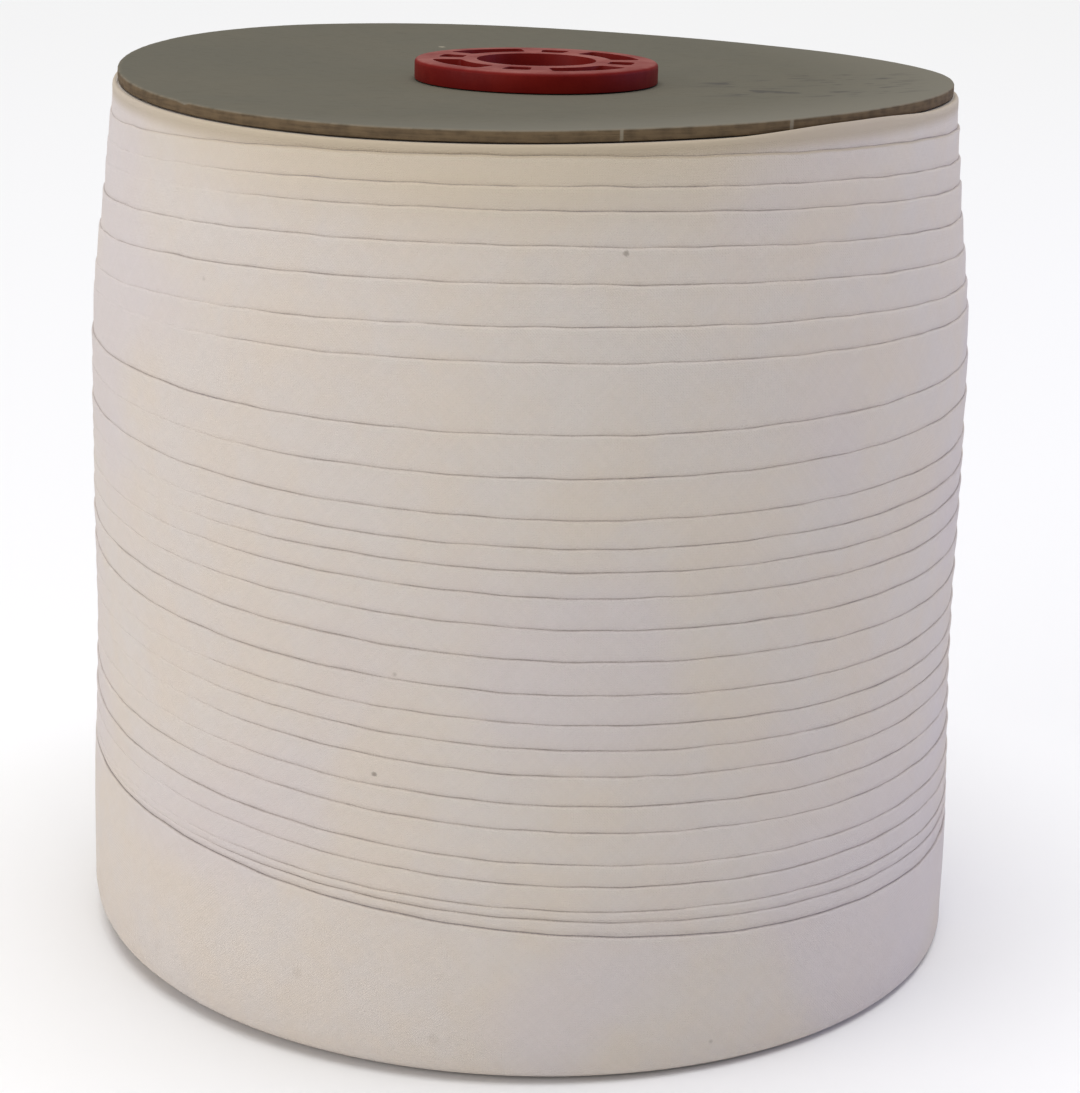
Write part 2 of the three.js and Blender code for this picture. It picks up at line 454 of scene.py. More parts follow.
class SharedEffects:
    """Shader groups that the finishes share, each built once."""

    def __init__(self) -> None:
        """Build every shared effect."""
        self.mottle = self._mottle()
        self.fleck = self._fleck()
        self.mark = self._mark()
        self.weave = self._weave()

    def _start(self, name: str, **inputs: Socket) -> tuple[Wiring, dict[str, Value]]:
        """Begin a group.

        Args:
            name: Name of the group.
            **inputs: Kind of each input, by name.

        Returns:
            The wiring, and the inputs by name.
        """
        tree = bpy.data.node_groups.new(name, "ShaderNodeTree")
        for title, kind in inputs.items():
            tree.interface.new_socket(title, in_out="INPUT", socket_type=kind.value)
        wire = Wiring(tree)
        entry = wire.add("NodeGroupInput")
        return wire, {title: Value(wire, entry.outputs[title]) for title in inputs}

    def _end(self, wire: Wiring, **results: Value) -> bpy.types.NodeTree:
        """End a group with its outputs.

        Args:
            wire: The group's wiring.
            **results: What each output gives, by name.

        Returns:
            The group.
        """
        for title in results:
            wire.tree.interface.new_socket(title, in_out="OUTPUT", socket_type=Socket.VALUE.value)
        wire.add("NodeGroupOutput", results)
        return wire.tree

    def _mottle(self) -> bpy.types.NodeTree:
        """Soft patches at two sizes, as a value about 0.5.

        Returns:
            The group.
        """
        wire, given = self._start("mottle", Vector=Socket.VECTOR, Scale=Socket.VALUE)
        broad = wire.grain(given["Vector"], given["Scale"], 1.0)
        finer = wire.grain(given["Vector"], given["Scale"] * 4.3, 3.0)
        return self._end(wire, Patch=(broad * 0.6 + finer * 0.4).span(0.3, 0.7))

    def _fleck(self) -> bpy.types.NodeTree:
        """Scattered small flecks, in a share of the cells of a scale.

        Returns:
            The group.
        """
        value = Socket.VALUE
        wire, given = self._start("fleck", Vector=Socket.VECTOR, Scale=value, Size=value, Share=value)
        cells = wire.add("ShaderNodeTexVoronoi", {"Vector": given["Vector"], "Scale": given["Scale"]})
        chance = wire.node("ShaderNodeSeparateColor", {0: Value(wire, cells.outputs["Color"])})
        near = Value(wire, cells.outputs["Distance"]).span(given["Size"], 0.0)
        return self._end(wire, Mask=near * chance.under(given["Share"]))

    def _mark(self) -> bpy.types.NodeTree:
        """One small mark at a place, with a soft and uneven outline.

        Returns:
            The group.
        """
        wire, given = self._start("mark", Vector=Socket.VECTOR, Place=Socket.VECTOR, Radius=Socket.VALUE)
        far = wire.vector("DISTANCE", given["Vector"], given["Place"])
        edge = given["Radius"] * (wire.grain(given["Vector"], 2200.0) + 0.5)
        return self._end(wire, Mask=far.span(edge, edge * 0.45))

    def _weave(self) -> bpy.types.NodeTree:
        """Plain weave with its threads at 45 degrees to the tape's length.

        Returns:
            The group.
        """
        wire, given = self._start("plain weave", Vector=Socket.VECTOR, Threads=Socket.VALUE)
        biased = wire.stretch(given["Vector"], (1, 1, 1), 45)
        bow = wire.node("ShaderNodeTexNoise", {"Vector": biased, "Scale": 90.0}, "Color")
        swayed = wire.vector("ADD", wire.scaled(biased, given["Threads"]), bow)
        warp, weft, _ = wire.split(swayed)
        crossing = wire.math("SINE", warp * math.pi) * wire.math("SINE", weft * math.pi)
        across = wire.grain(wire.stretch(swayed, (0.9, 0.03, 1)), 1.0, 1.0)
        down = wire.grain(wire.stretch(swayed, (0.03, 0.9, 1)), 1.0, 1.0)
        height = wire.math("ABSOLUTE", crossing) + crossing * 0.25
        return self._end(wire, Height=height, Slub=(across + down).span(0.7, 1.3))


class Mark(NamedTuple):
    """A small mark on a surface, and how strongly it shows."""

    place: Spot
    radius: float
    share: float


@dataclass(frozen=True)
class Finish:
    """What every finish shares: a material with one Principled shader."""

    effects: SharedEffects

    def start(self, name: str) -> tuple[bpy.types.Material, Wiring]:
        """Begin a material.

        Args:
            name: Name of the material.

        Returns:
            The material and its wiring.
        """
        material = bpy.data.materials.new(name)
        material.use_nodes = True
        return material, Wiring(material.node_tree)

    def patch(self, wire: Wiring, place: Value, scale: float) -> Value:
        """Soft patches of a scale over a surface."""
        return wire.group(self.effects.mottle, Vector=place, Scale=scale)["Patch"]

    def flecks(self, wire: Wiring, place: Value, scale: float, size: float, share: float) -> Value:
        """Small flecks of a size in a share of the cells of a scale."""
        return wire.group(self.effects.fleck, Vector=place, Scale=scale, Size=size, Share=share)["Mask"]

    def marked(self, wire: Wiring, place: Value, mark: Mark) -> Value:
        """One small mark, as strong as it is to show."""
        group = wire.group(self.effects.mark, Vector=place, Place=mark.place, Radius=mark.radius)
        return group["Mask"] * mark.share

    def dress(self, wire: Wiring, sockets: dict[str, object], height: Value, depth: float) -> None:
        """Give the material's shader its values and its relief.

        Args:
            wire: The material's wiring.
            sockets: What the shader's sockets take, by name.
            height: Height of the relief, from 0 to 1.
            depth: How far 1 stands up.
        """
        shader = wire.tree.nodes["Principled BSDF"]
        relief = wire.node("ShaderNodeBump", {"Distance": depth, "Height": height})
        for name, value in {**sockets, "Normal": relief}.items():
            wire.feed(shader.inputs[name], value)


@dataclass(frozen=True)
class BiasCloth(Finish):
    """Off-white plain cotton cut on the bias, with painted shade darkening the creases between the wraps."""

    body: Colour = shade(211, 203, 195)
    warm: Colour = shade(213, 202, 189)
    lilac: Colour = shade(208, 200, 200)
    # Painted shade: these two colours darken the creases between the wraps, the last crease bluish.
    crease_shade: Colour = shade(160, 149, 142)
    last_crease_shade: Colour = shade(136, 136, 166)
    speck: Colour = shade(150, 140, 128)
    # Painted shade under the board, and painted shade with warm bounce from it at the front.
    under_board_shade: Colour = shade(176, 161, 136)
    warm_bounce_shade: Colour = shade(206, 192, 169)
    marks: tuple[Mark, ...] = (
        Mark((-0.0317, -0.1020, 0.0702), 0.0008, 0.9),
        Mark((0.0191, -0.1002, 0.1846), 0.0009, 0.7),
        Mark((-0.0487, -0.0967, 0.0205), 0.0018, 0.14),
        Mark((-0.0179, -0.1069, 0.0100), 0.0018, 0.14),
    )
    bounce_shade_x: float = -0.012
    bounce_shade_z: float = 0.2075
    bounce_shade_squash: float = 4.0
    first_wrap: float = 0.338
    rim_start: float = 0.2
    rim_end: float = 0.204
    threads: float = 2100.0
    depth: float = 0.00005

    def material(self) -> bpy.types.Material:
        """The cloth's material, which follows the tape by its UV map in metres.

        Returns:
            The material.
        """
        material, wire = self.start("bias_cloth")
        flat = wire.node("ShaderNodeUVMap", uv_map="UVMap")
        place = wire.place()
        weave = wire.group(self.effects.weave, Vector=flat, Threads=self.threads)
        patch = self.patch(wire, place, 45.0)
        cool = wire.grain(place, 16.0, 1.0).span(0.48, 0.66)
        tone = wire.mix(cool * 0.6, wire.mix(patch, self.body, self.warm), self.lilac)
        cloth = wire.coats(
            wire.scaled(tone, weave["Slub"] * 0.024 + 0.988),
            (self.flecks(wire, place, 70.0, 0.055, 0.10) * 0.5, self.speck),
            *((self.marked(wire, place, mark), self.speck) for mark in self.marks),
            # Painted shade with warm bounce from the board, beneath it at the front.
            (self._warm_bounce_shaded(wire, place) * 0.8, self.warm_bounce_shade),
            # Painted shade under the board, on the upper rim and along the first edge.
            (self._under_board_shaded(wire, place, flat) * 0.7, self.under_board_shade),
        )
        # Painted shade in the creases, masked by the mesh's crease attribute.
        crease_shade = wire.attribute("crease_shade")
        shadow = wire.mix(crease_shade.span(0.9, 1.0), self.crease_shade, self.last_crease_shade)
        sockets = {
            "Base Color": wire.mix(self._line(wire, flat, crease_shade), cloth, shadow),
            "Roughness": patch * 0.06 + 0.88,
            "Specular IOR Level": 0.25,
            "Sheen Weight": 0.12,
            "Sheen Roughness": 0.6,
        }
        self.dress(wire, sockets, weave["Height"] + wire.grain(place, 1500.0) * 0.9, self.depth)
        return material

    def _warm_bounce_shaded(self, wire: Wiring, place: Value) -> Value:
        """Mask of the painted shade, warmed by bounce from the board, on the cloth beneath the board at the
        front.

        Args:
            wire: The material's wiring.
            place: Place on the roll.

        Returns:
            The mask.
        """
        x, y, z = wire.split(place)
        off = wire.node("ShaderNodeCombineXYZ", {0: x, 2: z * self.bounce_shade_squash})
        centre = (self.bounce_shade_x, 0, self.bounce_shade_z * self.bounce_shade_squash)
        return wire.vector("DISTANCE", off, centre).span(0.1, 0.03) * y.under(0.0)

    def _under_board_shaded(self, wire: Wiring, place: Value, flat: Value) -> Value:
        """Mask of the painted shade under the board, on the upper rim and along its first edge.

        Args:
            wire: The material's wiring.
            place: Place on the roll.
            flat: Place on the flat tape.

        Returns:
            The mask.
        """
        run, below, _ = wire.split(flat)
        edge = below.span(0.003, 0.0) * run.under(self.first_wrap)
        height = wire.split(place)[2]
        rounding = wire.facing_up().span(0.1, 0.6) * height.span(self.rim_start, self.rim_end)
        return wire.math("MAXIMUM", rounding, edge)

    def _line(self, wire: Wiring, flat: Value, crease_shade: Value) -> Value:
        """Share of shadow in the creases, broken into dashes where they are weak.

        Args:
            wire: The material's wiring.
            flat: Place on the flat tape.
            crease_shade: Share of painted shade in the creases.

        Returns:
            The share.
        """
        broken = wire.grain(wire.stretch(flat, (1, 0.15, 1)), 560.0, 3.0)
        dashes = wire.grain(wire.stretch(flat, (1, 0.3, 1)), 150.0, 1.0)
        line = crease_shade * (broken * 1.2 + 0.3) * (crease_shade * 0.7 + dashes).span(0.56, 0.76)
        return wire.math("MINIMUM", line, 1.0)


@dataclass(frozen=True)
class CutLayers(Finish):
    """The wound cloth seen edge-on, as fine rings round the bore."""

    light: Colour = shade(226, 217, 206)
    dark: Colour = shade(168, 158, 146)
    rings: float = 1700.0
    bundle: float = 9.0
    layer: float = 0.6 * MM
    depth: float = 0.00025

    def material(self) -> bpy.types.Material:
        """The material of the roll's flat ends and bore.

        Returns:
            The material.
        """
        material, wire = self.start("cut_layers")
        place = wire.place()
        x, y, z = wire.split(place)
        sway = wire.grain(place, 28.0) * 0.0022
        wound = wire.math("ARCTAN2", y, x) * (self.layer / FULL_TURN) + sway
        reach = wire.vector("LENGTH", wire.join(x, y)) + wound + z
        layers = wire.grain(wire.join(reach * self.rings, 0.0), 1.0, 1.0)
        bundles = wire.grain(wire.join(reach * (self.rings / self.bundle), 3.0), 1.0)
        ridge = (layers * 0.65 + bundles * 0.35).span(0.36, 0.6)
        tone = wire.mix(self.patch(wire, place, 40.0) * 0.25, self.light, self.dark)
        sockets = {
            "Base Color": wire.mix(ridge, self.dark, tone),
            "Roughness": ridge * 0.05 + 0.9,
            "Specular IOR Level": 0.2,
        }
        self.dress(wire, sockets, ridge, self.depth)
        return material


@dataclass(frozen=True)
class GreyBoard(Finish):
    """Thick grey-brown board: fibrous faces, a raw brown cut edge and a painted highlight along the upper
    outer corner.
    """

    face: Colour = shade(101, 98, 86)
    face_warm: Colour = shade(105, 101, 88)
    paler_face: Colour = shade(126, 122, 110)
    fibre: Colour = shade(82, 78, 67)
    pale: Colour = shade(150, 143, 126)
    cut: Colour = shade(108, 91, 68)
    cut_dark: Colour = shade(86, 72, 54)
    corner_highlight: Colour = shade(130, 120, 104)
    ink: Colour = shade(76, 73, 70)
    chip: Mark = Mark((-0.0248, 0.062, 0.2094), 0.0012, 1.0)
    nick: Mark = Mark((-0.0758, -0.0629, 0.2086), 0.0009, 1.0)
    ticks: tuple[tuple[float, float], ...] = ((0.01758, 0.0005), (0.0533, 0.00055))
    plain_round_x: float = -0.03
    plain_round_y: float = 0.02
    depth: float = 0.00006

    def material(self) -> bpy.types.Material:
        """The board's material; attributes of the mesh tell face, cut edge and the corner with the painted
        highlight.

        Returns:
            The material.
        """
        material, wire = self.start("grey_board")
        place = wire.place()
        cut = wire.attribute("cut")
        patch = self.patch(wire, place, 26.0)
        fibres = wire.grain(wire.stretch(place, (260, 1300, 300), 24), 1.0, 3.0)
        plies = wire.grain(wire.stretch(place, (120, 120, 1900)), 1.0, 3.0)
        lumps = wire.grain(place, 330.0, 3.0)
        worn = plies * 0.5 + lumps * 0.5
        face = wire.coats(
            wire.mix(patch, self.face, self.face_warm),
            (fibres.span(0.52, 0.72) * 0.28, self.fibre),
            (self.flecks(wire, place, 330.0, 0.16, 0.12) * 0.5, self.fibre),
            (self.flecks(wire, place, 90.0, 0.06, 0.06) * 0.7, self.pale),
            (self._paler_outside(wire, place) * 0.7, self.paler_face),
            (self.marked(wire, place, self.chip), self.pale),
            (self._inked(wire, place) * 0.7, self.ink),
        )
        side = wire.coats(
            wire.mix(worn.span(0.34, 0.62), self.cut_dark, self.cut),
            *((tick * 0.6, self.pale) for tick in self._scuffed(wire, place)),
            (self.marked(wire, place, self.nick), self.cut_dark),
        )
        # Painted highlight along the upper outer corner, broken up by the lumps.
        painted_highlight = wire.attribute("highlight_corner") * lumps.span(0.3, 0.6)
        sockets = {
            "Base Color": wire.mix(painted_highlight * 0.75, wire.mix(cut, face, side), self.corner_highlight),
            "Roughness": patch * 0.08 + 0.82,
            "Specular IOR Level": 0.18,
        }
        felted = fibres * 0.8 + wire.grain(place, 900.0, 3.0)
        self.dress(wire, sockets, felted + worn * cut * 3.0, self.depth)
        return material

    def _paler_outside(self, wire: Wiring, place: Value) -> Value:
        """Mask of the face that is paler towards the right and front, all but a round of it towards the left
        and back.

        Args:
            wire: The material's wiring.
            place: Place on the disc.

        Returns:
            The mask.
        """
        x, y, _ = wire.split(place)
        off = wire.join(x - self.plain_round_x, y - self.plain_round_y)
        return wire.vector("LENGTH", off).span(0.09, 0.14)

    def _inked(self, wire: Wiring, place: Value) -> Value:
        """Mask of the rubbed ink streaks on the face, to one side of the plug.

        Args:
            wire: The material's wiring.
            place: Place on the disc.

        Returns:
            The mask.
        """
        x, y, _ = wire.split(place)
        wide = x.span(0.034, 0.044) * x.span(0.094, 0.082)
        deep = y.span(-0.036, -0.026) * y.span(0.024, 0.014)
        streaks = wire.grain(wire.stretch(place, (75, 420, 1), -52), 1.0).span(0.53, 0.60)
        broken = wire.grain(place, 170.0).span(0.40, 0.60)
        return wide * deep * (streaks * broken)

    def _scuffed(self, wire: Wiring, place: Value) -> Iterator[Value]:
        """Masks of the small upright scuffs on the cut edge at the front.

        Args:
            wire: The material's wiring.
            place: Place on the disc.

        Yields:
            The mask of each scuff.
        """
        x, y, _ = wire.split(place)
        front = y.under(0.0)
        for centre, half in self.ticks:
            off = wire.math("ABSOLUTE", x - centre)
            yield off.span(half, half * 0.4) * front


@dataclass(frozen=True)
class RedPlastic(Finish):
    """Moulded red plastic, satin, with a painted pale pink sheen on its upward faces."""

    body: Colour = shade(112, 8, 3)
    bright: Colour = shade(126, 20, 10)
    top_sheen: Colour = shade(176, 128, 120)
    depth: float = 0.00003

    def material(self) -> bpy.types.Material:
        """The plug's material.

        Returns:
            The material.
        """
        material, wire = self.start("red_plastic")
        place = wire.place()
        patch = self.patch(wire, place, 70.0)
        top_sheen_share = wire.facing_up().span(0.6, 1.0) * (patch + 0.6)
        scuffs = wire.grain(wire.stretch(place, (180, 1400, 180), 33), 1.0, 3.0)
        sockets = {
            # Painted sheen: the upward faces are mixed towards pale pink, standing in for the bright room
            # reflected in them.
            "Base Color": wire.mix(top_sheen_share * 0.3, wire.mix(patch, self.body, self.bright), self.top_sheen),
            "Roughness": scuffs * 0.2 + 0.46,
            "Specular IOR Level": 0.16,
        }
        self.dress(wire, sockets, wire.grain(place, 1100.0), self.depth)
        return material


class BarrelRow(NamedTuple):
    """Half width of the wound cloth at a height."""

    height: float
    radius: float


class Slant(NamedTuple):
    """How the tape's edge leans to one side and bows at the front, at a turn."""

    turn: float
    lean: float
    bow: float


class RowNearEdge(NamedTuple):
    """A row of points by the tape's edge: how far along the wrap, how far out, its painted crease shade and
    how swollen.
    """

    away: float
    out: float
    crease_shade: float
    swell: float = 0.0


@dataclass(frozen=True)
class Spring:
    """The dish and spring of the upper end: how far it stands above its middle."""

    board_radius: float = 98.5
    flat_radius: float = 30
    rise: float = 2.75
    tilt: float = 1.3
    tilt_towards: float = math.radians(-174)
    saddle: float = 1.35
    saddle_towards: float = math.radians(54)

    def lift(self, radius: float, angle: np.ndarray | float) -> np.ndarray | float:
        """Height above the flat middle.

        Args:
            radius: Distance from the axis.
            angle: Angle from the front.

        Returns:
            The height at each angle.
        """
        out = max(0.0, (radius - self.flat_radius) / (self.board_radius - self.flat_radius))
        tilt = self.tilt * np.cos(angle - self.tilt_towards)
        saddle = self.saddle * np.cos(2 * (angle - self.saddle_towards))
        return out * out * (self.rise + tilt + saddle)


@dataclass
class WoundTape:
    """The cloth: one tape wound down the roll, each wrap lying over the one above it."""

    finish: BiasCloth
    end_finish: CutLayers
    spring: Spring
    step: float = 0.36
    cloth_height: float = 205
    bore_radius: float = 27
    tape_radius: float = 107.5
    first_edge: float = 3.3
    bow_once: float = 0.5
    bow_twice: float = 0.22
    wander: Ripple = Ripple(3, 0.02, 0.31, size=0.13)
    start_turn: float = 0.5
    end_turn: float = 26.5
    run_out: float = 0.35
    rim_clear: float = 0.4
    rim_radius: float = 99.25
    tuck_radius: float = 98.85
    top_round: float = 1.2
    base_round: float = 5.5
    base_swing: float = 3.5
    heel_radius: float = 96
    lap_angle: float = 43
    lap_half: float = 19
    lap_rise: float = 1.15
    full_wrap: float = 3.4
    swell: float = 0.07
    swelling: Ripple = Ripple(5, 0.03, 0.5)
    snug_from: float = 0.42
    snug_over: float = 0.36
    crease_depth: float = 0.08
    crease_usual: float = 0.7
    crease_least: float = 0.08
    crease_ripple: Ripple = Ripple(11, 0.013, 0.6, 9, 0.2)
    last_crease_shade: float = 0.35
    last_run: float = 0.05
    seam_foot: float = 0.45
    end_lift: float = 0.3
    end_run: float = 0.04
    skirt_start: float = 2.6
    skirt_drop: float = 6.4
    skirt_run: float = 0.3
    skirt_rows: int = 8
    body_rows: int = 3
    steps: int = 300
    barrel: tuple[BarrelRow, ...] = (
        BarrelRow(0, 108.5),
        BarrelRow(35, 108.1),
        BarrelRow(75, 106.6),
        BarrelRow(115, 106.3),
        BarrelRow(155, 105.6),
        BarrelRow(184, 102.1),
        BarrelRow(205, 99.8),
    )
    bare: tuple[float, ...] = (
        4.3, 6.1, 4.9, 7.1, 7.6, 8.7, 7.4, 15.0, 9.1, 8.7, 6.2, 5.1, 5.5, 6.9,
        7.1, 7.6, 6.7, 5.7, 5.9, 6.7, 6.0, 7.4, 4.9, 5.7, 2.3, 3.1, 2.6,
    )
    snug: tuple[float, ...] = (
        0.3, 0.9, 1.0, 0.2, 0.2, 0.6, 1.0, 0.0, 0.9, 0.3, 1.0, 1.0, 0.8, 0.8,
        0.2, 0.2, 1.0, 0.9, 1.0, 0.9, 0.2, 0.1, 0.8, 1.0, 0.9, 0.0, 0.0,
    )
    slants: tuple[Slant, ...] = (
        Slant(0, -2.7, 3.0),
        Slant(3, -0.9, 4.3),
        Slant(6, -1.6, 4.9),
        Slant(8.5, -1.3, -3.2),
        Slant(10, 0.6, -3.0),
        Slant(14, 3.0, -3.0),
        Slant(20, 4.6, -3.3),
        Slant(24, 5.8, -2.8),
        Slant(26, 8.6, -2.6),
    )
    below_edge: tuple[RowNearEdge, ...] = (
        RowNearEdge(0.00, -0.18, 1.0),
        RowNearEdge(0.06, -0.04, 0.6, 0.4),
        RowNearEdge(0.22, 0.13, 0.0, 1.0),
        RowNearEdge(0.65, 0.20, 0.0, 1.0),
        RowNearEdge(1.70, 0.18, 0.0),
    )
    above_edge: tuple[RowNearEdge, ...] = (
        RowNearEdge(1.00, -0.15, 0.0),
        RowNearEdge(0.24, -0.18, 0.1),
        RowNearEdge(0.00, -0.18, 1.0),
    )
    end_flats: tuple[float, ...] = (98.0, 88, 76, 64, 52, 40, 27.5)
    bore_heights: tuple[float, ...] = (204.4, 190, 170, 150, 130, 110, 90, 70, 50, 30, 14, 3, 0.6)
    foot_radii: tuple[float, ...] = (27.6, 34, 42, 50, 58, 66, 74, 82, 90, 96)

    def barrel_radius(self, height: np.ndarray | float) -> np.ndarray | float:
        """Half width of the cloth at each height."""
        heights, radii = zip(*self.barrel)
        return along(heights, radii, np.clip(height, 0, self.cloth_height))

    def rim_height(self, angle: np.ndarray | float) -> np.ndarray | float:
        """Height at which the rounding of the upper rim starts."""
        return self.cloth_height - self.top_round + self.spring.lift(self.spring.board_radius, angle)

    def edge_height(self, turn: np.ndarray) -> np.ndarray:
        """Height of the tape's upper edge after each number of turns.

        Args:
            turn: Turns from the front, going down the roll.

        Returns:
            Heights in millimetres.
        """
        angle = FULL_TURN * turn
        starts = self.cloth_height + self.first_edge - np.concatenate(([0], np.cumsum(self.bare[:-1])))
        plain = along(range(len(self.bare)), starts, turn)
        turns, leans, bows = zip(*self.slants)
        lean = along(turns, leans, turn)
        shape = self.bow_once * (np.cos(angle) - 1) + self.bow_twice * (np.cos(2 * angle) - 1)
        free = plain - lean * np.sin(angle) + along(turns, bows, turn) * shape + self.wander.at(turn)
        rim = self.rim_height(angle)
        share = ease((turn - self.start_turn) / self.run_out)
        return rim + (np.minimum(free, rim - self.rim_clear) - rim) * share

    def grown(self, turn: np.ndarray) -> np.ndarray:
        """Share of the tape's thickness that stands up at each turn's edge."""
        return np.clip((turn - self.start_turn) / self.run_out, 0, 1)

    def flatness(self, turn: np.ndarray) -> np.ndarray:
        """Share by which the edge sinks into the cloth on the left, where some wraps lie snug.

        Args:
            turn: Turns along the tape.

        Returns:
            The share at each turn.
        """
        left = ease((-self.snug_from - np.sin(FULL_TURN * turn)) / self.snug_over)
        wrap = np.clip(np.floor(turn).astype(int), 0, len(self.snug) - 1)
        return left * np.asarray(self.snug)[wrap]

    def crease_at(self, turn: np.ndarray) -> np.ndarray:
        """How deep the crease above the edge is, and how dark its painted shade.

        Args:
            turn: Turns along the tape.

        Returns:
            A share of the full crease at each turn.
        """
        uneven = self.crease_usual + self.crease_ripple.at(turn)
        last = self.last_crease_shade * ease((turn - self.end_turn + 1 + self.last_run) / self.last_run)
        shown = uneven * (1 - 0.8 * self.flatness(turn)) + last
        return np.clip(shown, self.crease_least, 1) * self.grown(turn)

    def stand(self, turn: np.ndarray) -> np.ndarray:
        """Share of the step that stands up at each turn's edge."""
        return self.grown(turn) * (1 - 0.75 * self.flatness(turn))

    def proud(self, share: np.ndarray) -> np.ndarray:
        """How far the last wrap stands out more, by share of its turn, with its cut end lifted a little."""
        lifted = ease((share - 1 + self.end_run) / self.end_run)
        return self.step / 2 * share + self.end_lift * lifted

    def skirt_top(self, top: np.ndarray, share: np.ndarray) -> np.ndarray:
        """Height of the seam below the last edge, by share of its turn."""
        return top - (self.skirt_start + self.skirt_drop * ease(share / self.skirt_run))

    def end_of(self, reader: Callable[[np.ndarray], np.ndarray]) -> float:
        """What a reader by turns gives at the tape's cut end."""
        return float(reader(np.array([self.end_turn]))[0])

    def unevenness(self, angle: float, height: float) -> float:
        """Small swell of the cloth at a place on the barrel.

        Args:
            angle: Angle from the front.
            height: Height of the place.

        Returns:
            How far the cloth stands out there.
        """
        at = spot(106, angle, height)
        broad = noise.noise(at * 22)
        finer = noise.noise(at * 95 + Vector((4, 7, 1)))
        return 0.30 * broad + 0.10 * finer

    def settled(self, height: np.ndarray | float) -> np.ndarray | float:
        """Share of the small swell that is left at a height, which is none at the roll's two ends."""
        return ease(height / 12) * ease((self.cloth_height - 1 - height) / 8)

    def build(self) -> bpy.types.Object:
        """Wind the tape and close its ends.

        Returns:
            The finished piece.
        """
        wraps, skirt, ends = self._wraps(), self._skirt(), self._ends()
        alone(wraps)
        skirt.select_set(True)
        ends.select_set(True)
        bpy.ops.object.join()
        weld(wraps, closed=False)
        self._close_cut_end(wraps)
        self._close_heel(wraps)
        weld(wraps)
        smooth(wraps, 50)
        return wraps

    def _edge_row(
        self, row: RowNearEdge, at: np.ndarray, stand: np.ndarray, crease_shade: np.ndarray
    ) -> tuple[np.ndarray, ...]:
        """One row of points by the tape's edge.

        Args:
            row: The row's shape.
            at: Height of the row at each column.
            stand: Share of the step that stands up at each column.
            crease_shade: Share of painted crease shade at each column, which also sets how deep the crease
                dips.

        Returns:
            Height, distance off the barrel and painted crease shade at each column.
        """
        dip = self.crease_depth * crease_shade if row.crease_shade == 1 else 0
        return at, row.out * stand - dip, row.crease_shade * crease_shade

    def _wraps(self) -> bpy.types.Object:
        """The wound face from the upper rim to just below the last edge, laid as one long grid.

        Returns:
            The wound grid.
        """
        total = round((self.end_turn - self.start_turn) * self.steps)
        columns = np.arange(total + self.steps + 1)
        last = columns > total
        turn = self.start_turn + (columns - self.steps) / self.steps
        held = np.maximum(turn, self.start_turn)
        below = np.minimum(turn + 1, self.end_turn)
        share = np.maximum(turn - self.end_turn + 1, 0)
        proud = self.proud(share)
        top = np.where(columns < self.steps, self.rim_height(FULL_TURN * turn), self.edge_height(held))
        bottom = np.where(last, self.skirt_top(top, share), self.edge_height(below))
        squeeze = np.minimum(1, (top - bottom) / self.full_wrap)
        upper = self.stand(turn)
        lower = np.where(last, 0, self.stand(turn + 1))
        dark_top = self.crease_at(held) * (upper > 0)
        dark_low = self.crease_at(below) * (lower > 0)
        swell = self.swell * (1 + self.swelling.at(turn)) * upper
        rows = []
        for row in self.below_edge:
            height, out, crease_shade = self._edge_row(row, top - row.away * squeeze, upper, dark_top)
            raised = 0 if row.crease_shade == 1 else proud + swell * row.swell
            rows.append((height, out + raised, crease_shade))
        tail = []
        for row in self.above_edge:
            height, out, crease_shade = self._edge_row(row, bottom + row.away * squeeze, lower, dark_low)
            tail.append((height, np.where(last, self.step / 2 + proud, out), crease_shade))
        (high, near, _), (low, far, _) = rows[-1], tail[0]
        for number in range(1, self.body_rows + 1):
            way = number / (self.body_rows + 1)
            rows.append((high + (low - high) * way, near + (far - near) * way, np.zeros(len(columns))))
        return self._lay("wound_tape", turn, top, rows + tail)

    def _skirt(self) -> bpy.types.Object:
        """The lower part of the last wrap, down round the lower rim to the floor.

        Returns:
            The wound grid.
        """
        share = np.arange(self.steps + 1) / self.steps
        turn = self.end_turn - 1 + share
        top = self.edge_height(turn)
        first = self.skirt_top(top, share)
        first[0] = self.end_of(self.edge_height)
        out = self.step / 2 + self.proud(share)
        first_out = out.copy()
        first_out[0] = -self.step / 2 - self.crease_depth * self.end_of(self.crease_at)
        rounding = self.base_round - self.base_swing * np.sin(FULL_TURN * turn)
        rim_radius = self.barrel_radius(rounding)
        heights = [first] + [first + (rounding - first) * way for way in (0.34, 0.68, 1.0)]
        outs = [first_out, out, out, out]
        arcs = self.skirt_rows - 3
        for level in range(1, arcs + 1):
            bend = math.pi / 2 * level / arcs
            height = rounding * (1 - math.sin(bend))
            heights.append(height)
            outs.append(rim_radius - rounding * (1 - math.cos(bend)) + out - self.barrel_radius(height))
        crease_shades = np.zeros((self.skirt_rows + 1, self.steps + 1))
        # Painted shade beside the tape's cut end, fading towards the floor.
        crease_shades[:, 0] = np.linspace(1, self.seam_foot, self.skirt_rows + 1)
        return self._lay("tape_skirt", turn, top, list(zip(heights, outs, crease_shades)))

